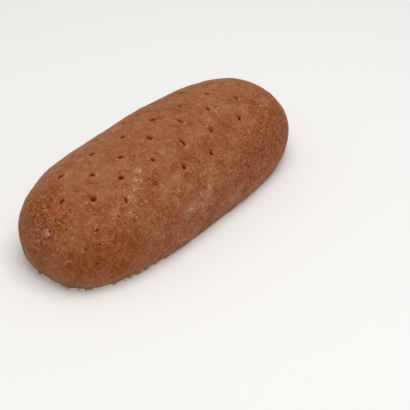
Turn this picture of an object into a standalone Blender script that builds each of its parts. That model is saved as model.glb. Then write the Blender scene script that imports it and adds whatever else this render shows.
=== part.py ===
"""Long oval hearth loaf, baked as one piece, with rows of docking pricks in its top.

Metres, +Z up. The origin is the middle of the flat base: +X runs along the loaf and Z = 0 is
the face that it rests on.
"""

import math

import bmesh
import bpy
from mathutils import Matrix

# Driving dimensions
LENGTH = 0.300
WIDTH = 0.128
HEIGHT = 0.086
WAIST_HEIGHT = 0.026        # the widest line round the loaf, above the base
BASE_INSET = 0.0075         # how far the base edge is drawn in under the widest line
TAPER = -0.015              # width lost towards +X, as a share of the half width

# Exponents of the curves, for the -X end and the +X end where there are two
OUTLINE_POWER = (3.0, 3.2)
CREST_POWER = (3.4, 2.85)
SECTION_POWER = 2.15

# Docking pricks: each row's distance from the middle line, and its pricks along the loaf
PRICK_ROWS = (
    (0.0470, (-0.060, -0.024, 0.012, 0.046, 0.079)),
    (0.0285, (-0.080, -0.049, -0.016, 0.022, 0.055, 0.093)),
    (0.0080, (-0.106, -0.071, -0.037, -0.001, 0.032, 0.066, 0.107)),
    (-0.0120, (-0.125, -0.092, -0.061, -0.024, 0.012, 0.045, 0.083)),
    (-0.0310, (-0.109, -0.078, -0.043, -0.006, 0.028, 0.064)),
    (-0.0475, (-0.090, -0.057, -0.023, 0.012)),
)
ROW_SKEW = -0.075           # the rows run slightly across the loaf
PRICK_MOUTH_RADIUS = 0.0027
PRICK_TIP_RADIUS = 0.0013
PRICK_DEPTH = 0.0070
PRICK_SIDES = 8
CUTTER_RISE = 0.0020        # how far a cutter stands out of the crust

# Cells of the starting block along X, Y and Z
LENGTH_CELLS = 40
WIDTH_CELLS = 18
HEIGHT_CELLS = 8
LOWER_SHARE = 0.5           # share of the block's side that becomes the bulge under the waist
DOME_RIM = math.radians(62) # where the block's top face ends on the dome, 90 degrees at the waist

CRUST_COLOUR = (0.28, 0.105, 0.045, 1.0)
CRUST_ROUGHNESS = 0.85


def end_power(powers, along):
    """Exponent for the end of the loaf that a place lies in."""
    return powers[0] if along < 0.0 else powers[1]


def half_width(along):
    """Half width at the waist, at a station from -1 to 1 along the loaf."""
    power = end_power(OUTLINE_POWER, along)
    share = max(0.0, 1.0 - abs(along) ** power) ** (1.0 / power)
    return WIDTH / 2 * share * (1.0 + TAPER * along)


def crust_height(x, y):
    """Height of the domed top over a place in plan."""
    along = max(-1.0, min(1.0, x / (LENGTH / 2)))
    across = min(1.0, abs(y) / max(half_width(along), 1e-9))
    power = end_power(CREST_POWER, along)
    crest = (1.0 - abs(along) ** power) ** (1.0 / power) * (1.0 + TAPER / 2 * along)
    section = max(0.0, 1.0 - across ** SECTION_POWER) ** (1.0 / SECTION_POWER)
    return WAIST_HEIGHT + (HEIGHT - WAIST_HEIGHT) * crest * section


def outline_direction(x, y):
    """Place on the unit outline that lies in the direction of x, y."""
    power = end_power(OUTLINE_POWER, x)
    reach = (abs(x) ** power + abs(y) ** power) ** (1.0 / power)
    if reach == 0.0:
        return 0.0, 0.0
    return x / reach, y / reach


def plan_place(turn_x, turn_y, share, inset):
    """Place in plan at a share of the way out to the outline, drawn in by an inset."""
    x = (LENGTH / 2 - inset) * share * turn_x
    y = (WIDTH / 2 - inset) * share * turn_y * (1.0 + TAPER * share * turn_x)
    return x, y


def loaf_place(block):
    """Place on the loaf for a place on the block's surface, whose sides run from -1 to 1."""
    turn_x, turn_y = outline_direction(block.x, block.y)
    ring = max(abs(block.x), abs(block.y))
    if block.z < -0.999:
        x, y = plan_place(turn_x, turn_y, ring, BASE_INSET)
        return x, y, 0.0
    level = (block.z + 1.0) / 2
    if level < LOWER_SHARE:
        bend = math.pi / 2 * (1.0 - level / LOWER_SHARE)
        x, y = plan_place(turn_x, turn_y, 1.0, BASE_INSET * (1.0 - math.cos(bend)))
        return x, y, WAIST_HEIGHT * (1.0 - math.sin(bend))
    if block.z > 0.999:
        angle = DOME_RIM * ring
    else:
        rise = (level - LOWER_SHARE) / (1.0 - LOWER_SHARE)
        angle = math.pi / 2 + (DOME_RIM - math.pi / 2) * rise
    x, y = plan_place(turn_x, turn_y, math.sin(angle), 0.0)
    return x, y, crust_height(x, y)


def block_edges(bm, axis):
    """Edges of the block that run along one axis."""
    return [edge for edge in bm.edges if abs((edge.verts[0].co - edge.verts[1].co)[axis]) > 0.01]


def new_object(name, bm, collection):
    """Mesh object from a bmesh, in a collection."""
    mesh = bpy.data.meshes.new(name)
    bm.to_mesh(mesh)
    bm.free()
    obj = bpy.data.objects.new(name, mesh)
    collection.objects.link(obj)
    return obj


def crust_material():
    """Matte brown crust."""
    material = bpy.data.materials.new("crust")
    material.use_nodes = True
    shader = material.node_tree.nodes["Principled BSDF"]
    shader.inputs["Base Color"].default_value = CRUST_COLOUR
    shader.inputs["Roughness"].default_value = CRUST_ROUGHNESS
    shader.inputs["Metallic"].default_value = 0.0
    material.diffuse_color = CRUST_COLOUR
    return material


def make_loaf(collection):
    """Block divided into even cells, with every vertex moved onto the loaf's form."""
    bm = bmesh.new()
    bmesh.ops.create_cube(bm, size=2.0)
    for axis, cells in enumerate((LENGTH_CELLS, WIDTH_CELLS, HEIGHT_CELLS)):
        bmesh.ops.subdivide_edges(bm, edges=block_edges(bm, axis), cuts=cells - 1)
    for vert in bm.verts:
        vert.co = loaf_place(vert.co)
    loaf = new_object("loaf", bm, collection)
    loaf.data.materials.append(crust_material())
    loaf.data.shade_smooth()
    return loaf


def make_prick_cutters(collection):
    """Upright cones, wider at the crust, one for each docking prick."""
    flare = (PRICK_MOUTH_RADIUS - PRICK_TIP_RADIUS) / PRICK_DEPTH
    height = PRICK_DEPTH + CUTTER_RISE
    bm = bmesh.new()
    for row_y, stations in PRICK_ROWS:
        for x in stations:
            y = row_y + ROW_SKEW * x
            middle = crust_height(x, y) - PRICK_DEPTH + height / 2
            bmesh.ops.create_cone(
                bm,
                cap_ends=True,
                segments=PRICK_SIDES,
                radius1=PRICK_TIP_RADIUS,
                radius2=PRICK_TIP_RADIUS + flare * height,
                depth=height,
                matrix=Matrix.Translation((x, y, middle)),
            )
    cutters = new_object("prick_cutters", bm, collection)
    cutters.hide_render = True
    cutters.display_type = "WIRE"
    return cutters


def main():
    """Clear the scene, then make the loaf and cut its pricks."""
    for obj in list(bpy.data.objects):
        bpy.data.objects.remove(obj, do_unlink=True)
    part = bpy.data.collections.new("hearth_loaf")
    guides = bpy.data.collections.new("cutters")
    for collection in (part, guides):
        bpy.context.scene.collection.children.link(collection)
    loaf = make_loaf(part)
    pricks = loaf.modifiers.new("pricks", "BOOLEAN")
    pricks.operation = "DIFFERENCE"
    pricks.solver = "EXACT"
    pricks.object = make_prick_cutters(guides)


main()
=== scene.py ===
"""Fine model of a long oval hearth loaf: its crust, pricks, pores, flour and relief."""

import math
import random

import bmesh
import bpy
import numpy as np
from bpy.props import FloatProperty, FloatVectorProperty, IntProperty, PointerProperty
from mathutils import Matrix, Vector, noise


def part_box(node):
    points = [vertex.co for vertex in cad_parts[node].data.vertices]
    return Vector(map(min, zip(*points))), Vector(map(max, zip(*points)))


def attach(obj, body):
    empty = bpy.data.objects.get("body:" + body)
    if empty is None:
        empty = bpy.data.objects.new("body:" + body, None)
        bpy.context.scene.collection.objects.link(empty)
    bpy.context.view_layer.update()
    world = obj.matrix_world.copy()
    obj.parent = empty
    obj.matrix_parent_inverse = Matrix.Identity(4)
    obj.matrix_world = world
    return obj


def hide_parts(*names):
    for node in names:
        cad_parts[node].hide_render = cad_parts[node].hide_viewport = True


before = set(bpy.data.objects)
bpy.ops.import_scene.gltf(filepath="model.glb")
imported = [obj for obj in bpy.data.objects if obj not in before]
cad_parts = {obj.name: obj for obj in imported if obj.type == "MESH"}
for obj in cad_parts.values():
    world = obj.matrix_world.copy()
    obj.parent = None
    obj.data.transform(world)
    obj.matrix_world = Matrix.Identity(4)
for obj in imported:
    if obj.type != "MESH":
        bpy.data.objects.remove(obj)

bl_info = {
    "name": "Hearth Loaf",
    "version": (1, 0, 0),
    "blender": (4, 5, 0),
    "location": "3D View > Sidebar > Loaf",
    "description": "Builds a docked hearth loaf and a plain stage for it",
    "category": "Add Mesh",
}

LOW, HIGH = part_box("loaf")
MM = 0.001
TINY = 1e-9                         # keeps a division away from zero

# Form of the loaf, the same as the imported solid's
WAIST_SHARE = 0.026 / 0.086         # height of the widest line, as a share of the height
TAPER = -0.015                      # width lost towards +X, as a share of the half width
OUTLINE_POWER = (3.0, 3.2)          # exponents for the -X end and the +X end
CREST_POWER = (3.4, 2.85)
SECTION_POWER = 2.15

# Docking pricks in mm, row by row from the far side (+Y) to the near side (-Y): place in plan,
# depth, reach of the mouth across its slant and along it, and the slant in degrees from the X axis
PRICKS = (
    (-60, 51, 4.0, 1.9, 2.6, 80),
    (-24, 49, 5.0, 2.1, 2.5, 0),
    (12, 46, 4.0, 1.8, 2.8, 70),
    (46, 43, 3.0, 2.0, 2.4, 20),
    (79, 41, 4.5, 1.8, 2.6, 85),
    (-80, 30, 3.0, 1.6, 2.4, 10),
    (-49, 31, 4.5, 1.9, 3.2, 10),
    (-16, 29, 3.5, 1.5, 2.6, 10),
    (2, 29, 4.0, 1.4, 2.2, 10),
    (22, 26, 2.5, 1.4, 2.2, 10),
    (55, 25, 7.0, 2.3, 2.8, 0),
    (93, 18, 5.5, 2.2, 3.2, -30),
    (-106, 16, 4.0, 2.1, 3.4, 10),
    (-71, 13, 5.0, 2.0, 3.1, -5),
    (-37, 10, 5.0, 2.0, 2.9, -5),
    (-1, 8, 5.0, 2.1, 2.7, -20),
    (32, 5, 4.2, 2.2, 3.2, 0),
    (66, 2, 7.0, 2.5, 3.6, -40),
    (107, -2, 4.5, 1.8, 3.0, -80),
    (-125, -4, 4.0, 1.8, 3.5, 5),
    (-91, -6, 5.0, 2.4, 2.7, 0),
    (-61, -9, 6.0, 2.2, 2.4, -60),
    (-24, -9, 6.5, 2.6, 3.6, -73),
    (13, -11, 4.5, 1.7, 3.5, -84),
    (45, -16, 5.5, 1.6, 3.0, 85),
    (83, -19, 4.5, 1.5, 2.4, 85),
    (-108, -23, 7.0, 2.5, 2.7, 0),
    (-77, -25, 5.5, 2.4, 2.6, 0),
    (-42, -28, 5.0, 1.9, 2.4, 80),
    (-5, -29, 7.5, 1.7, 3.9, 82),
    (28, -34, 3.5, 1.8, 2.5, -60),
    (64, -37, 5.0, 1.6, 2.4, 63),
    (-88, -40, 3.2, 1.6, 2.0, 60),
    (-56, -43, 2.0, 2.6, 3.2, 45),
    (-22, -45, 6.0, 2.0, 2.1, 40),
    (12, -47, 5.0, 1.7, 2.4, 60),
)

# A prick's plan, in shares of the reach of its mouth
PRICK_WALL = (0.05, 1.30)           # where its wall starts, near the middle, and where it ends
PRICK_DIP = 2.2                     # reach of the shallow dip round it
LIP_PLACE = 1.7                     # how far out its lip stands
LIP_BREADTH = 0.60
PRICK_END = 5.0                     # it changes nothing farther out
PRICK_RAGGED = 0.22                 # how uneven its outline is

# A prick's depths and heights
PRICK_WALL_POWER = 1.3              # above 1, it narrows faster under the mouth
DIP_DEPTH = 0.6 * MM
LIP_HEIGHT = 0.35 * MM
LIP_FACING = (0.6, 0.4)             # a lip's mean mark, and how much more it is on the -Y side
# the mark inside a prick lays its wall colour and, deepest, painted shade
DARK_DEPTH = 4.5 * MM               # a prick at least this deep has the full mark inside
PRICKED_ABOVE = 0.035               # lower crust isn't pricked

# Pores: least and largest radius in mm, of the placed ones and of those left to chance
PLACED_PORE_RADIUS = (1.1, 1.7)
PORE_RADIUS = (0.5, 1.0)
PORE_SPREAD = (0.45, 0.995)         # how far out in plan the ones left to chance lie
PORE_SQUARE = 0.7                   # below 1, they spread into the corners of the plan
PORE_OUTLINE = 0.99                 # and none lie farther out than this, 1 on the outline
PORE_DEPTH = 0.9 * MM
PORE_WALL = (0.2, 1.1)              # where its wall starts and ends, in shares of its radius

# Block that becomes the loaf: cells along X, Y and Z, halved once more above the base
BLOCK_CELLS = (116, 52, 28)
BLOCK_END = 0.999                   # block places past this, up or down, lie on its top or base
EDGE_LENGTH = 1e-4                  # a block edge runs along an axis if it is longer than this on it
LOWER_SHARE = 0.5                   # share of the block's side that becomes the bulge under the waist
BASE_POWER = 2.2                    # how late the bulge turns under towards the base
FOOT = 0.7 * MM                     # how far the base edge stands out again, like a thin lip
FOOT_START = 0.93                   # share of the way down from the waist where that starts
DOME_RIM = math.radians(62)         # where the block's top face ends on the dome
PRICK_REFINE = (6.0 * MM, 3.8 * MM)  # the mesh is halved again inside each of these radii
PORE_REFINE = 2.4 * MM

# Relief: heights of the dimples, of the grain and of the hollows in the base
DIMPLE_HEIGHT = 0.42 * MM
GRAIN_HEIGHT = 0.06 * MM
HOLLOW_HEIGHT = 0.8 * MM
RELIEF_FULL = 0.012                 # the relief grows from none at the base to all of it here
HOLLOW_END = 0.95                   # no hollows where the block's X squared is past this

# Bands of the crust in metres, for its marks
FAR_SIDE = (0.008, 0.045)           # across the loaf
UPPER_CRUST = (0.045, 0.075)        # heights
LOWER_CRUST = (0.002, 0.026)
FLANK_TOP = (0.060, 0.078)
DUSTED_RIM = (0.0005, 0.005)
FLOURED_EDGE = (0.0005, 0.0055)
UNDERSIDE = 0.010
DUSTED_FLANK = (-0.085, -0.070)     # along the loaf
FLOURED_END = (-0.100, -0.030)
FLOURED_BASE = (0.50, 0.72)         # where the flour under the loaf thins out, towards the outline

# Zones of the crust in mm: a middle, its reach along X, Y and Z, and how much flour is baked in
# there (above 0) or missing (below 0)
CRUST_ZONES = (
    ((-125, -45, 34), (28, 28, 22), -0.52),
    ((-95, -56, 36), (19, 14, 18), -0.36),
    ((-136, 6, 56), (18, 22, 24), -0.50),
    ((-112, 18, 76), (14, 14, 8), -0.15),
    ((60, -58, 46), (20, 14, 17), -0.45),
    ((95, -50, 57), (24, 14, 10), -0.22),
    ((-57, -42, 72), (10, 6, 6), -0.36),
    ((-22, -43, 71), (32, 5, 6), -0.28),
    ((18, -42, 72), (22, 6, 6), -0.28),
    ((32, -33, 78), (10, 6, 5), -0.22),
    ((124, -22, 50), (14, 40, 34), 0.06),
    ((106, 10, 75), (12, 10, 8), 0.35),
    ((-36, -62, 41), (9, 6, 6), 0.40),
    ((-10, -63, 44), (9, 6, 6), 0.22),
    ((30, -62, 24), (12, 10, 10), 0.25),
    ((-74, -61, 36), (6, 10, 14), 0.20),
    ((-92, -18, 80), (24, 22, 10), 0.10),
    ((95, -50, 42), (46, 28, 34), -0.50),
    ((60, 58, 42), (34, 16, 18), -0.35),
    ((-70, 60, 35), (30, 16, 16), -0.30),
    ((-15, 58, 50), (26, 12, 16), 0.20),
    ((140, 20, 45), (14, 16, 18), -0.35),
)

# Patches of loose flour in mm: a middle, a radius and an amount
FLOUR_PATCHES = (
    ((-61, -29, 79), 5.0, 0.70),
    ((-68, -34, 76), 5.5, 0.70),
    ((-75, -38, 73), 5.5, 0.66),
    ((-82, -42, 69), 6.0, 0.74),
    ((-90, -48, 62), 7.0, 0.45),
    ((-34, -63, 40), 5.0, 0.70),
    ((-10, -62, 42), 5.5, 0.48),
    ((23, -63, 19), 8.0, 0.58),
    ((8, -63, 24), 6.0, 0.42),
    ((-29, -64, 18), 7.0, 0.58),
    ((-45, -63, 12), 6.0, 0.58),
    ((72, -61, 30), 7.0, 0.45),
    ((-34, -38, 75), 4.0, 0.42),
    ((-146, -8, 54), 5.0, 0.80),
    ((-146, -26, 36), 5.0, 0.45),
    ((-140, 0, 52), 32.0, 0.34),
    ((80, -55, 48), 42.0, 0.28),
    ((62, 50, 58), 8.0, 0.7),
    ((-95, 46, 52), 7.0, 0.6),
    ((20, 61, 40), 7.0, 0.6),
    ((139, 15, 48), 7.0, 0.55),
)

# Darker patches in mm, partly darker crust and partly painted shade on the -X end, low on the near side
# and round the +X shoulder: a middle, a radius and an amount
DARK_PATCHES = (
    ((-130, 11, 70), 10.0, 0.8),
    ((-140, 9, 62), 10.0, 0.9),
    ((-150, -3, 37), 9.0, 0.9),
    ((-134, -42, 36), 14.0, 0.6),
    ((-140, -36, 27), 9.0, 0.5),
    ((-97, -55, 44), 14.0, 0.65),
    ((-107, -55, 30), 14.0, 0.5),
    ((-121, -39, 58), 5.0, 0.7),
    ((-112, -49, 51), 7.0, 0.7),
    ((47, -61, 43), 15.0, 0.7),
    ((70, -58, 45), 14.0, 0.6),
    ((5, -63, 35), 10.0, 0.5),
    ((92, -48, 58), 10.0, 0.5),
    ((119, -38, 59), 7.0, 0.9),
    ((121, -22, 67), 6.0, 1.0),
    ((111, -46, 54), 6.0, 0.7),
    ((48, -38, 75), 7.0, 0.5),
    ((-58, -42, 71), 8.0, 0.9),
    ((20, 60, 40), 14.0, 0.5),
    ((128, -18, 46), 20.0, 0.5),
    ((-80, 58, 40), 12.0, 0.6),
    ((140, 20, 45), 12.0, 0.5),
)

# Places in mm where the skin has split into fine tan cracks: a middle, a radius and an amount
CRACKED_PLACES = (
    ((-101, -44, 63), 7.0, 1.0),
    ((-121, -39, 59), 4.0, 0.8),
    ((34, -25, 82), 5.0, 1.0),
    ((20, -38, 76), 5.0, 1.0),
    ((28, -31, 79), 6.0, 0.8),
    ((55, -53, 59), 6.0, 0.7),
    ((-91, -42, 66), 4.0, 0.9),
    ((-122, 0, 71), 6.0, 0.8),
    ((-118, -46, 53), 9.0, 0.4),
    ((64, 4, 84), 7.0, 0.6),
    ((45, -10, 84), 6.0, 0.6),
    ((-30, -14, 85), 7.0, 0.5),
    ((-61, -12, 85), 6.0, 0.6),
    ((-22, -48, 72), 5.0, 0.8),
)

# Places in mm of the larger pores, on the -X end and the near side
PORE_PLACES = (
    (-138, -21, 60),
    (-145, -9, 56),
    (-141, -13, 60),
    (-147, -9, 51),
    (-149, 6, 38),
    (-150, 4, 39),
    (-134, -38, 46),
    (-128, -38, 54),
    (-124, -44, 48),
    (-122, -39, 58),
    (-130, -45, 32),
    (-119, -50, 13),
    (-101, -44, 63),
    (-121, -40, 59),
    (-91, -52, 56),
    (-99, -49, 57),
    (-87, -29, 77),
    (-139, 7, 65),
    (-136, 23, 61),
)

# Stage: places and sizes in metres
CAMERA_AIM = Vector((0.0229, -0.0314, -0.0032))
SENSOR_WIDTH = 36.0                 # in mm
VIEW_END = 20.0
LAMP_PLACE = Vector((-0.09, -0.28, 1.47))
LAMP_SIZE = 1.2
FLOOR_SIZE = 4.0


class LoafSettings(bpy.types.PropertyGroup):
    """Sizes of the loaf and of its relief."""

    length: FloatProperty(
        name="Length", description="Length of the loaf", default=HIGH.x - LOW.x, unit="LENGTH"
    )
    width: FloatProperty(
        name="Width", description="Width at the widest line", default=0.128, unit="LENGTH"
    )
    height: FloatProperty(
        name="Height", description="Height of the dome", default=0.086, unit="LENGTH"
    )
    base_inset: FloatProperty(
        name="Base inset",
        description="How far the base edge is drawn in under the widest line",
        default=0.0068,
        unit="LENGTH",
    )
    prick_size: FloatProperty(
        name="Prick size", description="Size of the pricks against their listed size", default=1.0
    )
    lump_height: FloatProperty(
        name="Lumps", description="Height of the broad lumps", default=0.0012, unit="LENGTH"
    )
    wrinkle_height: FloatProperty(
        name="Wrinkles", description="Height of the fine wrinkles", default=0.00016, unit="LENGTH"
    )
    pores: IntProperty(name="Pores", description="Number of pores in the crust", default=90)
    seed: IntProperty(name="Seed", description="Seed of the chance parts", default=7)


class CrustSettings(bpy.types.PropertyGroup):
    """Colours and finish of the crust."""

    scorched: FloatVectorProperty(
        name="Scorched", description="Most baked crust", default=(0.272, 0.068, 0.0175), subtype="COLOR"
    )
    # Partly darker crust, partly painted shade: laid over the darker patches
    dark_crust_and_shade: FloatVectorProperty(
        name="Charred", description="Darkest patches", default=(0.150, 0.036, 0.010), subtype="COLOR"
    )
    baked: FloatVectorProperty(
        name="Baked", description="Well baked crust", default=(0.303, 0.094, 0.0325), subtype="COLOR"
    )
    brown: FloatVectorProperty(
        name="Brown", description="Ordinary crust", default=(0.312, 0.113, 0.0465), subtype="COLOR"
    )
    rose: FloatVectorProperty(
        name="Rose",
        description="Crust with flour baked in",
        default=(0.340, 0.155, 0.082),
        subtype="COLOR",
    )
    tan: FloatVectorProperty(
        name="Tan", description="Lips and raised lines", default=(0.56, 0.205, 0.070), subtype="COLOR"
    )
    wall: FloatVectorProperty(
        name="Wall",
        description="Walls of pricks and pores",
        default=(0.19, 0.036, 0.008),
        subtype="COLOR",
    )
    # Painted shade: near-black colour laid at the bottom of the pricks and pores
    hole_shade: FloatVectorProperty(
        name="Dark",
        description="Bottom of pricks and pores",
        default=(0.035, 0.008, 0.003),
        subtype="COLOR",
    )
    meal: FloatVectorProperty(
        name="Meal",
        description="Fine pale fibres and grains",
        default=(0.55, 0.285, 0.150),
        subtype="COLOR",
    )
    flour: FloatVectorProperty(
        name="Flour", description="Loose flour", default=(0.68, 0.49, 0.37), subtype="COLOR"
    )
    base: FloatVectorProperty(
        name="Base",
        description="Flour on the base and its edge",
        default=(0.84, 0.74, 0.65),
        subtype="COLOR",
    )
    roughness: FloatProperty(
        name="Roughness", description="Roughness of the crust", default=0.85, subtype="FACTOR"
    )


class StageSettings(bpy.types.PropertyGroup):
    """Floor, lights and camera."""

    floor_colour: FloatVectorProperty(
        name="Floor", description="Colour of the floor", default=(0.90, 0.89, 0.87), subtype="COLOR"
    )
    sky: FloatProperty(name="Sky", description="Strength of the even light", default=0.52)
    key: FloatProperty(name="Key", description="Power of the soft lamp", default=13.6, unit="POWER")
    azimuth: FloatProperty(
        name="Azimuth",
        description="Camera's turn about Z",
        default=math.radians(-50.34),
        subtype="ANGLE",
    )
    elevation: FloatProperty(
        name="Elevation",
        description="Camera's angle above the floor",
        default=math.radians(36.82),
        subtype="ANGLE",
    )
    distance: FloatProperty(
        name="Distance", description="Camera's distance from its aim", default=0.9708, unit="LENGTH"
    )
    lens: FloatProperty(name="Lens", description="Focal length", default=92.5, unit="CAMERA")


def smooth_step(low, high, value):
    """Smooth rise from 0 at low to 1 at high."""
    share = np.clip((value - low) / (high - low), 0.0, 1.0)
    return share * share * (3.0 - 2.0 * share)


def by_end(powers, along):
    """Exponent for the end of the loaf that each place lies in."""
    return np.where(along < 0.0, powers[0], powers[1])


def crust_height(loaf, x, y):
    """Height of the domed top over places in plan."""
    waist = loaf.height * WAIST_SHARE
    along = np.clip(x / (loaf.length / 2), -1.0, 1.0)
    power = by_end(OUTLINE_POWER, along)
    half = loaf.width / 2 * (1.0 - np.abs(along) ** power) ** (1.0 / power) * (1.0 + TAPER * along)
    across = np.minimum(1.0, np.abs(y) / np.maximum(half, TINY))
    power = by_end(CREST_POWER, along)
    crest = (1.0 - np.abs(along) ** power) ** (1.0 / power) * (1.0 + TAPER / 2 * along)
    section = (1.0 - across**SECTION_POWER) ** (1.0 / SECTION_POWER)
    return waist + (loaf.height - waist) * crest * section


def height_at(loaf, x, y):
    """Height of the domed top over one place in plan."""
    return float(crust_height(loaf, np.array([x]), np.array([y]))[0])


def signed_power(value, power):
    """Power of a number that keeps its sign."""
    return math.copysign(abs(value) ** power, value)


def loaf_places(loaf, block):
    """Places on the loaf for places on the block's surface, whose sides run from -1 to 1."""
    x, y, z = block.T
    waist = loaf.height * WAIST_SHARE
    power = by_end(OUTLINE_POWER, x)
    reach = np.maximum((np.abs(x) ** power + np.abs(y) ** power) ** (1.0 / power), TINY)
    turn_x, turn_y = x / reach, y / reach
    ring = np.maximum(np.abs(x), np.abs(y))
    level = (z + 1.0) / 2
    base = z < -BLOCK_END
    top = z > BLOCK_END
    lower = level < LOWER_SHARE
    bend = np.where(base, math.pi / 2, math.pi / 2 * np.clip(1.0 - level / LOWER_SHARE, 0.0, 1.0))
    rise = np.clip((level - LOWER_SHARE) / (1.0 - LOWER_SHARE), 0.0, 1.0)
    angle = np.where(top, DOME_RIM * ring, math.pi / 2 + (DOME_RIM - math.pi / 2) * rise)
    share = np.where(base, ring, np.where(lower, 1.0, np.sin(angle)))
    inset = loaf.base_inset * np.sin(bend) ** BASE_POWER
    inset = inset - FOOT * smooth_step(FOOT_START, 1.0, np.sin(bend))
    along = (loaf.length / 2 - inset) * share * turn_x
    across = (loaf.width / 2 - inset) * share * turn_y * (1.0 + TAPER * share * turn_x)
    height = np.where(
        lower | base, waist * (1.0 - np.sin(bend)), crust_height(loaf, along, across)
    )
    return np.column_stack((along, across, height))


def prick_list(loaf):
    """Each prick as in PRICKS, in metres and radians."""
    size = loaf.prick_size * MM
    return [
        (x * MM, y * MM, depth * size, across * size, along * size, math.radians(slant))
        for x, y, depth, across, along, slant in PRICKS
    ]


def pore_list(loaf):
    """Each pore's place on the crust and its radius: the placed ones, then those left to chance."""
    chance = random.Random(loaf.seed + 1)
    pores = [(Vector(place) * MM, chance.uniform(*PLACED_PORE_RADIUS) * MM) for place in PORE_PLACES]
    while len(pores) < loaf.pores:
        turn = chance.uniform(0.0, 2.0 * math.pi)
        out = chance.uniform(*PORE_SPREAD)
        x = loaf.length / 2 * out * signed_power(math.cos(turn), PORE_SQUARE)
        y = loaf.width / 2 * out * signed_power(math.sin(turn), PORE_SQUARE)
        power = OUTLINE_POWER[0]
        outline = (abs(x) * 2 / loaf.length) ** power + (abs(y) * 2 / loaf.width) ** power
        if outline > PORE_OUTLINE:
            continue
        place = Vector((x, y, height_at(loaf, x, y)))
        pores.append((place, chance.uniform(*PORE_RADIUS) * MM))
    return pores


def edges_along(bm, axis):
    """Edges of the block that run along one axis."""
    return [
        edge
        for edge in bm.edges
        if abs((edge.verts[0].co - edge.verts[1].co)[axis]) > EDGE_LENGTH
    ]


def halve(bm, edges):
    """Halve the cells that these edges bound."""
    bmesh.ops.subdivide_edges(bm, edges=edges, cuts=1, use_grid_fill=True, use_single_edge=True)


def edges_near(loaf, bm, centres, radius):
    """Edges whose middle lies on the loaf within a radius of any centre."""
    edges = list(bm.edges)
    middles = np.array([(edge.verts[0].co + edge.verts[1].co) / 2 for edge in edges])
    places = loaf_places(loaf, middles)
    near = np.zeros(len(edges), bool)
    for centre in centres:
        near |= ((places - centre) ** 2).sum(axis=1) < radius**2
    return [edge for edge, is_near in zip(edges, near) if is_near]


def block_mesh(loaf, pricks, pores):
    """Block with even cells, finer above the base and finest round the pricks and pores."""
    bm = bmesh.new()
    bmesh.ops.create_cube(bm, size=2.0)
    for axis, cells in enumerate(BLOCK_CELLS):
        bmesh.ops.subdivide_edges(bm, edges=edges_along(bm, axis), cuts=cells - 1)
    halve(bm, [edge for edge in bm.edges if max(vert.co.z for vert in edge.verts) > -BLOCK_END])
    mouths = [np.array((x, y, height_at(loaf, x, y))) for x, y, *_ in pricks]
    for radius in PRICK_REFINE:
        halve(bm, edges_near(loaf, bm, mouths, radius))
    halve(bm, edges_near(loaf, bm, [np.array(place) for place, _ in pores], PORE_REFINE))
    mesh = bpy.data.meshes.new("loaf_crust")
    bm.to_mesh(mesh)
    bm.free()
    return mesh


def read_vectors(items, name):
    """Vectors of a mesh's vertices as rows of an array."""
    values = np.empty(len(items) * 3, np.float32)
    items.foreach_get(name, values)
    return values.reshape(-1, 3).astype(float)


def set_places(mesh, places):
    """Move a mesh's vertices to the rows of an array."""
    mesh.vertices.foreach_set("co", places.astype(np.float32).ravel())
    mesh.update()


def mark(mesh, name, values):
    """Store one number for each vertex."""
    layer = mesh.attributes.new(name, "FLOAT", "POINT")
    layer.data.foreach_set("value", np.clip(values, 0.0, 1.0).astype(np.float32))


def waves(places, size, octaves, shift):
    """Smooth chance field over places, about -1 to 1, with waves of the given size."""
    offset = Vector((shift, 1.7 * shift, -0.6 * shift))
    falloff, lacunarity = 0.9, 2.0
    field = [
        noise.fractal(Vector(place) / size + offset, falloff, lacunarity, octaves)
        for place in places
    ]
    return np.array(field)


def relief(loaf, places):
    """Height of the lumps, dimples, wrinkles and grain along the normal."""
    lumps = waves(places, size=0.070, octaves=2, shift=3.1) * loaf.lump_height
    dimples = waves(places, size=0.016, octaves=3, shift=8.4) * DIMPLE_HEIGHT
    fold = 1.0 - np.abs(waves(places, size=0.0052, octaves=2, shift=14.2)) * 2.2
    grain = waves(places, size=0.0024, octaves=1, shift=21.3) * GRAIN_HEIGHT
    return lumps + dimples + fold * loaf.wrinkle_height + grain


def add_pricks(mesh, pricks, places):
    """Sink each prick as a ragged funnel with a raised lip, and mark its depth, lip and halo."""
    drop = np.zeros(len(places))
    inside = np.zeros(len(places))
    lips = np.zeros(len(places))
    halo = np.zeros(len(places))
    ragged = waves(places, size=0.0032, octaves=2, shift=31.0)
    broken = np.clip(0.4 + ragged * 1.6, 0.0, 1.0)
    for x, y, depth, reach_across, reach_along, slant in pricks:
        gap_x, gap_y = places[:, 0] - x, places[:, 1] - y
        along = (gap_x * math.cos(slant) + gap_y * math.sin(slant)) / reach_along
        across = (gap_y * math.cos(slant) - gap_x * math.sin(slant)) / reach_across
        out = np.hypot(along, across)
        near = (out < PRICK_END) & (places[:, 2] > PRICKED_ABOVE)
        out = out + PRICK_RAGGED * ragged * near
        funnel = near * (1.0 - smooth_step(*PRICK_WALL, out)) ** PRICK_WALL_POWER
        dip = near * np.exp(-((out / PRICK_DIP) ** 2))
        lip = near * np.exp(-(((out - LIP_PLACE) / LIP_BREADTH) ** 2)) * broken
        towards_y = gap_y / np.maximum(np.hypot(gap_x, gap_y), TINY)
        facing = LIP_FACING[0] - LIP_FACING[1] * towards_y
        drop += depth * funnel + DIP_DEPTH * dip - LIP_HEIGHT * lip
        inside = np.maximum(inside, funnel * min(1.0, (depth / DARK_DEPTH) ** 1.5))
        lips = np.maximum(lips, lip * facing)
        halo = np.maximum(halo, dip)
    places[:, 2] -= drop
    mark(mesh, "prick", inside)
    mark(mesh, "lip", lips)
    mark(mesh, "halo", halo)


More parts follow.
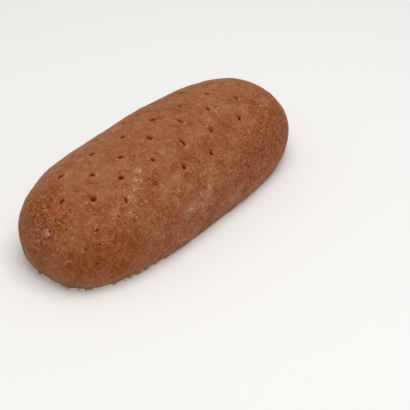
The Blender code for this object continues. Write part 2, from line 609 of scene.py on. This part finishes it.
def add_pores(mesh, pores, places, normals):
    """Sink each pore along the normal, and mark it."""
    sink = np.zeros(len(places))
    for centre, radius in pores:
        gap = np.linalg.norm(places - np.array(centre), axis=1) / radius
        sink = np.maximum(sink, (1.0 - smooth_step(*PORE_WALL, gap)) * min(1.0, radius / MM))
    places -= normals * (sink * PORE_DEPTH)[:, None]
    mark(mesh, "pore", sink)


def shape_loaf(loaf, mesh, pricks, pores):
    """Give the block the loaf's form, then its relief, pores and pricks."""
    block = read_vectors(mesh.vertices, "co")
    places = loaf_places(loaf, block)
    set_places(mesh, places)
    normals = read_vectors(mesh.vertices, "normal")
    on_base = block[:, 2] < -BLOCK_END
    above = smooth_step(0.0, RELIEF_FULL, places[:, 2])
    height = relief(loaf, places)
    hollows = np.maximum(0.0, waves(places, size=0.030, octaves=2, shift=40.0)) * HOLLOW_HEIGHT
    add_pores(mesh, pores, places, normals)
    places += normals * (height * above)[:, None]
    places[:, 2] = np.where(on_base, hollows * (block[:, 0] ** 2 < HOLLOW_END), places[:, 2])
    add_pricks(mesh, pricks, places)
    places[:, 2] = np.maximum(places[:, 2], 0.0)
    set_places(mesh, places)


class Socket:
    """Output of a node, with the arithmetic that Math nodes do."""

    def __init__(self, finish, socket):
        self.finish = finish
        self.socket = socket

    def join(self, operation, first, second):
        """Math node on two values."""
        return self.finish.add("ShaderNodeMath", {"operation": operation}, {0: first, 1: second})

    def __add__(self, other):
        return self.join("ADD", self, other)

    def __radd__(self, other):
        return self.join("ADD", other, self)

    def __sub__(self, other):
        return self.join("SUBTRACT", self, other)

    def __rsub__(self, other):
        return self.join("SUBTRACT", other, self)

    def __mul__(self, other):
        return self.join("MULTIPLY", self, other)

    def __rmul__(self, other):
        return self.join("MULTIPLY", other, self)

    def __abs__(self):
        return self.finish.add("ShaderNodeMath", {"operation": "ABSOLUTE"}, {0: self})


class Finish:
    """Node tree of one material."""

    def __init__(self, name):
        self.material = bpy.data.materials.new(name)
        self.material.use_nodes = True
        self.tree = self.material.node_tree
        self.shader = self.tree.nodes["Principled BSDF"]

    def add(self, kind, settings, sockets, output=0):
        """Add a node: its settings or a ramp's stops first, then its sockets' values or links."""
        node = self.tree.nodes.new(kind)
        for name, value in settings.items():
            if name == "stops":
                self.set_stops(node.color_ramp, value)
            else:
                setattr(node, name, value)
        for name, value in sockets.items():
            self.feed(node.inputs[name], value)
        return Socket(self, node.outputs[output])

    def set_stops(self, ramp, stops):
        """Give a ramp its stops, each a position and a colour."""
        while len(ramp.elements) < len(stops):
            ramp.elements.new(0.5)
        for element, (position, colour) in zip(ramp.elements, stops):
            element.position = position
            element.color = (*colour[:3], 1.0)

    def feed(self, target, value):
        """Link a socket, or set its value."""
        if isinstance(value, Socket):
            self.tree.links.new(value.socket, target)
        elif target.type == "RGBA":
            target.default_value = (*value[:3], 1.0)
        else:
            target.default_value = value

    def attribute(self, name):
        """Number stored on the mesh."""
        return self.add("ShaderNodeAttribute", {"attribute_name": name}, {}, "Fac")

    def place(self):
        """Object coordinates."""
        return self.add("ShaderNodeTexCoord", {}, {}, "Object")

    def cloud(self, place, size, detail, roughness, distortion, shift):
        """Noise with features of about the given size, mostly 0.3 to 0.7."""
        moved = self.add(
            "ShaderNodeVectorMath", {"operation": "ADD"}, {0: place, 1: (shift, shift, shift)}
        )
        sockets = {
            "Vector": moved,
            "Scale": 1.0 / size,
            "Detail": detail,
            "Roughness": roughness,
            "Distortion": distortion,
        }
        return self.add("ShaderNodeTexNoise", {}, sockets)

    def step(self, value, low, high, top=1.0):
        """Smooth rise from 0 at low to top at high."""
        settings = {"interpolation_type": "SMOOTHSTEP"}
        sockets = {"Value": value, "From Min": low, "From Max": high, "To Max": top}
        return self.add("ShaderNodeMapRange", settings, sockets)

    def veins(self, place, size, width, distortion, shift):
        """Thin wandering lines, 1 on the line, about the given size apart."""
        field = self.cloud(place, size, 1.0, 0.5, distortion, shift)
        return self.step(abs(field - 0.5), width, 0.0)

    def dots(self, place, size, radius, share):
        """Small round dots, in a share of cells of the given size."""
        settings = {"feature": "F1"}
        sockets = {"Vector": place, "Scale": 1.0 / size}
        gap = self.add("ShaderNodeTexVoronoi", settings, sockets, "Distance")
        chance = self.add("ShaderNodeTexVoronoi", settings, sockets, "Color")
        chance = self.add("ShaderNodeSeparateColor", {}, {"Color": chance}, "Red")
        chosen = self.step(chance, 1.0 - share, 1.0 - 0.8 * share)
        return self.step(gap, radius, 0.3 * radius) * chosen

    def mix(self, factor, first, second):
        """Mix of two colours."""
        sockets = {0: factor, 6: first, 7: second}
        return self.add("ShaderNodeMix", {"data_type": "RGBA"}, sockets, 2)

    def lay(self, colour, layers):
        """Colour under layers, each an amount and a colour, the last one on top."""
        for amount, layer in layers:
            colour = self.mix(amount, colour, layer)
        return colour


def baked_colour(finish, colours, patch):
    """Brown of the crust by how much flour is baked in, with painted pale light on the far side and low
    down, from scorched to rose.
    """
    veil = finish.attribute("veil") - finish.attribute("halo") * 0.30 + (patch - 0.5) * 1.6
    stops = (
        (0.0, colours.scorched),
        (0.33, colours.baked),
        (0.62, colours.brown),
        (1.0, colours.rose),
    )
    return finish.add("ShaderNodeValToRGB", {"stops": stops}, {"Fac": veil})


def crust_material(colours):
    """Baked crust: browns that follow the baked-in flour, with painted pale light on the far side and
    low down, tan lines, darker patches that are partly painted shade, pricks and pores with painted
    shade at their bottoms, loose flour.
    """
    finish = Finish("crust")
    place = finish.place()
    prick = finish.attribute("prick")
    pore = finish.attribute("pore")
    dust = finish.attribute("dust")
    cracked = finish.attribute("cracked") + 0.40

    # Chance patterns, from broad patches to grit; sizes in metres
    patch = finish.cloud(place, size=0.016, detail=2.0, roughness=0.95, distortion=0.4, shift=0.37)
    stain = finish.cloud(place, size=0.0090, detail=1.0, roughness=0.9, distortion=0.6, shift=0.83)
    fleck = finish.cloud(place, size=0.0048, detail=1.0, roughness=0.95, distortion=0.5, shift=0.71)
    grain = finish.cloud(place, size=0.0018, detail=0.0, roughness=0.5, distortion=0.0, shift=0.13)
    grit = finish.cloud(place, size=0.0009, detail=0.0, roughness=0.5, distortion=0.0, shift=0.29)
    fibre = finish.veins(place, size=0.0050, width=0.040, distortion=1.2, shift=0.91)
    fibre = fibre * finish.step(fleck, 0.45, 0.58)
    crease = finish.veins(place, size=0.0070, width=0.035, distortion=2.0, shift=0.53)
    crease = crease * finish.step(patch, 0.52, 0.60)
    crack = finish.veins(place, size=0.0042, width=0.060, distortion=1.6, shift=0.17) * cracked
    dots = finish.dots(place, size=0.0032, radius=0.17, share=0.30)
    specks = finish.dots(place, size=0.0047, radius=0.11, share=0.25)

    # The grain is stronger where the crust is dusted, and the crust is mottled all over
    rough = finish.step(dust, 0.05, 0.40, 0.65) + 0.5
    meal = ((fleck - 0.5) * 0.5 + (grain - 0.5) * 0.5 + (grit - 0.5) * 1.5) * rough
    mottle = meal * 0.37 + (patch - 0.5) * 0.65 + (stain - 0.5) * rough * 0.65 + 0.89
    baked = baked_colour(finish, colours, patch)
    colour = finish.add("ShaderNodeVectorMath", {"operation": "SCALE"}, {0: baked, "Scale": mottle})

    # Loose flour keeps out of the pricks, and the base edge's flour has a ragged end
    loose = dust + (grain - 0.5) * 0.4 + (grit - 0.5) * 0.6 + (fleck - 0.5) * 0.35
    covered = finish.step(loose, 0.35, 1.10) * (1.0 - prick)
    ragged = (stain - 0.5) * 2.2 + (fleck - 0.5) * 1.6 + (grain - 0.5) * 1.0 + 0.62
    ragged_rim = finish.attribute("rim") * ragged
    colour = finish.lay(colour, (
        # darker patches: partly darker crust, partly painted shade
        (finish.attribute("darker") * (stain * 0.85), colours.dark_crust_and_shade),
        (finish.step(meal, 0.0, -0.50) * 0.17, colours.wall),
        (finish.step(meal, 0.0, 0.50) * 0.30, colours.meal),
        (fibre * rough * 0.90, colours.meal),
        (specks * 0.6, colours.wall),
        (crease * 0.5, colours.tan),
        (crack * 0.75, colours.tan),
        (finish.attribute("lip") * (fleck * 1.2), colours.tan),
        (covered * 0.52, colours.flour),
        (dots * rough * 0.75, colours.flour),
        (finish.step(ragged_rim, 0.30, 0.65), colours.base),
        (finish.step(prick, 0.03, 0.55), colours.wall),
        # painted shade at the bottom of the pricks
        (finish.step(prick, 0.50, 0.95), colours.hole_shade),
        (finish.step(pore, 0.02, 0.55, 0.80), colours.wall),
        # painted shade at the bottom of the pores
        (finish.step(pore, 0.45, 1.00, 0.85), colours.hole_shade),
    ))

    height = fleck + grain * 0.6 + fibre * 0.25 + crease * 0.3 + dots * 0.2
    bump = finish.add(
        "ShaderNodeBump", {}, {"Strength": 0.9, "Distance": 0.0009, "Height": height}
    )
    shader = finish.shader
    finish.feed(shader.inputs["Base Color"], colour)
    finish.feed(shader.inputs["Normal"], bump)
    finish.feed(shader.inputs["Roughness"], covered * 0.10 + colours.roughness)
    shader.inputs["Specular IOR Level"].default_value = 0.02
    shader.inputs["Sheen Weight"].default_value = 0.10
    shader.inputs["Sheen Roughness"].default_value = 0.35
    return finish.material


def zone_amount(places, middle, reach):
    """Soft share of a round or oval zone, 1 at its middle."""
    gap = (places / MM - np.array(middle)) / np.array(reach)
    return np.exp(-((gap**2).sum(axis=1) ** 1.5))


def veil_and_painted_light_amount(places):
    """How much flour is baked in, 0.51 on ordinary crust: more on the far side, partly a painted pale
    sheen where the dome is seen at a grazing angle, and more low down, partly painted light bounced up
    from the floor.
    """
    across, height = places[:, 1], places[:, 2]
    veil = 0.51 + 0.15 * waves(places, size=0.045, octaves=2, shift=51.0)
    # paler far side of the dome: partly baked-in flour, partly painted sheen
    veil += 0.35 * smooth_step(*FAR_SIDE, across) * smooth_step(*UPPER_CRUST, height)
    # paler low crust: partly flour, partly painted light bounced from the floor
    veil += 0.25 * (1.0 - smooth_step(*LOWER_CRUST, height))
    for middle, reach, amount in CRUST_ZONES:
        veil += amount * zone_amount(places, middle, reach)
    return veil


def patches_amount(places, patches):
    """Largest share of any round patch."""
    amounts = [
        amount * zone_amount(places, middle, (radius,) * 3) for middle, radius, amount in patches
    ]
    return np.max(amounts, axis=0)


def dust_amount(places):
    """Loose flour: some on the flanks, more on the base edge, and most in a few patches."""
    along, height = places[:, 0], places[:, 2]
    flank = 1.0 - smooth_step(*FLANK_TOP, height)
    flank = flank * (0.25 + 0.75 * smooth_step(*DUSTED_FLANK, along))
    uneven = 0.7 + 0.4 * waves(places, size=0.025, octaves=2, shift=66.0)
    dust = 0.10 + 0.24 * flank * uneven
    rim = 1.0 - smooth_step(*DUSTED_RIM, height)
    broken = 0.60 + 0.5 * waves(places, size=0.012, octaves=2, shift=61.0)
    return np.maximum(np.maximum(dust, rim * broken), patches_amount(places, FLOUR_PATCHES))


def rim_amount(places):
    """Flour picked up by the underside and by the base edge, there mostly at the -X end."""
    along, across, height = places.T
    edge = 1.0 - smooth_step(*FLOURED_EDGE, height)
    edge = edge * (0.35 + 0.65 * (1.0 - smooth_step(*FLOURED_END, along)))
    power = OUTLINE_POWER[0]
    outline = (np.abs(along) / HIGH.x) ** power + (np.abs(across) / HIGH.y) ** power
    under = 0.75 * (1.0 - smooth_step(*FLOURED_BASE, outline)) * (height < UNDERSIDE)
    return np.maximum(edge, under)


class LOAF_OT_bake(bpy.types.Operator):
    """Make the loaf with its pricks, pores, relief and crust"""

    bl_idname = "loaf.bake"
    bl_label = "Loaf"

    def execute(self, context):
        loaf = context.scene.loaf
        pricks = prick_list(loaf)
        pores = pore_list(loaf)
        mesh = block_mesh(loaf, pricks, pores)
        shape_loaf(loaf, mesh, pricks, pores)
        places = read_vectors(mesh.vertices, "co")
        mark(mesh, "veil", veil_and_painted_light_amount(places))
        mark(mesh, "dust", dust_amount(places))
        mark(mesh, "cracked", patches_amount(places, CRACKED_PLACES))
        mark(mesh, "darker", patches_amount(places, DARK_PATCHES))
        mark(mesh, "rim", rim_amount(places))
        mesh.shade_smooth()
        mesh.materials.append(crust_material(context.scene.crust))
        piece = bpy.data.objects.new("loaf_crust", mesh)
        context.scene.collection.objects.link(piece)
        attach(piece, "root")
        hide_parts("loaf")
        return {"FINISHED"}


class LOAF_OT_stage(bpy.types.Operator):
    """Make the floor, the lights and the camera"""

    bl_idname = "loaf.stage"
    bl_label = "Stage"

    def execute(self, context):
        stage = context.scene.stage
        context.scene.view_settings.view_transform = "Standard"
        self.floor(context, stage)
        self.lights(context, stage)
        self.camera(context, stage)
        return {"FINISHED"}

    def floor(self, context, stage):
        """Wide plain floor under the loaf."""
        bm = bmesh.new()
        bmesh.ops.create_grid(bm, x_segments=1, y_segments=1, size=FLOOR_SIZE)
        mesh = bpy.data.meshes.new("floor")
        bm.to_mesh(mesh)
        bm.free()
        finish = Finish("floor")
        finish.feed(finish.shader.inputs["Base Color"], stage.floor_colour)
        finish.shader.inputs["Roughness"].default_value = 0.9
        finish.shader.inputs["Specular IOR Level"].default_value = 0.1
        mesh.materials.append(finish.material)
        floor = bpy.data.objects.new("floor", mesh)
        context.scene.collection.objects.link(floor)

    def lights(self, context, stage):
        """Even sky and one large soft lamp, high over the loaf and towards its near side."""
        world = bpy.data.worlds.new("sky")
        world.use_nodes = True
        background = world.node_tree.nodes["Background"]
        background.inputs["Color"].default_value = (1.0, 1.0, 1.0, 1.0)
        background.inputs["Strength"].default_value = stage.sky
        context.scene.world = world
        lamp = bpy.data.lights.new("key", "AREA")
        lamp.shape = "DISK"
        lamp.size = LAMP_SIZE
        lamp.energy = stage.key
        lamp_object = bpy.data.objects.new("key", lamp)
        turn = LAMP_PLACE.to_track_quat("Z", "Y").to_matrix().to_4x4()
        lamp_object.matrix_world = Matrix.Translation(LAMP_PLACE) @ turn
        context.scene.collection.objects.link(lamp_object)

    def camera(self, context, stage):
        """Camera on the near side, over the -X end."""
        data = bpy.data.cameras.new("camera")
        data.lens = stage.lens
        data.sensor_width = SENSOR_WIDTH
        data.clip_end = VIEW_END
        back = Vector((
            math.sin(stage.azimuth) * math.cos(stage.elevation),
            -math.cos(stage.azimuth) * math.cos(stage.elevation),
            math.sin(stage.elevation),
        ))
        camera = bpy.data.objects.new("camera", data)
        turn = back.to_track_quat("Z", "Y").to_matrix().to_4x4()
        camera.matrix_world = Matrix.Translation(CAMERA_AIM + back * stage.distance) @ turn
        context.scene.collection.objects.link(camera)
        context.scene.camera = camera


class LOAF_PT_panel(bpy.types.Panel):
    """Settings and steps of the loaf"""

    bl_idname = "LOAF_PT_panel"
    bl_label = "Hearth Loaf"
    bl_space_type = "VIEW_3D"
    bl_region_type = "UI"
    bl_category = "Loaf"

    def draw(self, context):
        layout = self.layout
        for group in (context.scene.loaf, context.scene.crust, context.scene.stage):
            column = layout.column()
            for name in group.__annotations__:
                column.prop(group, name)
        layout.operator(LOAF_OT_bake.bl_idname)
        layout.operator(LOAF_OT_stage.bl_idname)


CLASSES = (LoafSettings, CrustSettings, StageSettings, LOAF_OT_bake, LOAF_OT_stage, LOAF_PT_panel)


def register():
    """Register the classes and the settings."""
    for cls in CLASSES:
        bpy.utils.register_class(cls)
    bpy.types.Scene.loaf = PointerProperty(type=LoafSettings)
    bpy.types.Scene.crust = PointerProperty(type=CrustSettings)
    bpy.types.Scene.stage = PointerProperty(type=StageSettings)


def unregister():
    """Remove the settings and the classes."""
    del bpy.types.Scene.stage
    del bpy.types.Scene.crust
    del bpy.types.Scene.loaf
    for cls in reversed(CLASSES):
        bpy.utils.unregister_class(cls)


def main():
    """Build everything."""
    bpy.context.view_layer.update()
    register()
    bpy.ops.loaf.stage()
    bpy.ops.loaf.bake()


if __name__ == "__main__":
    main()
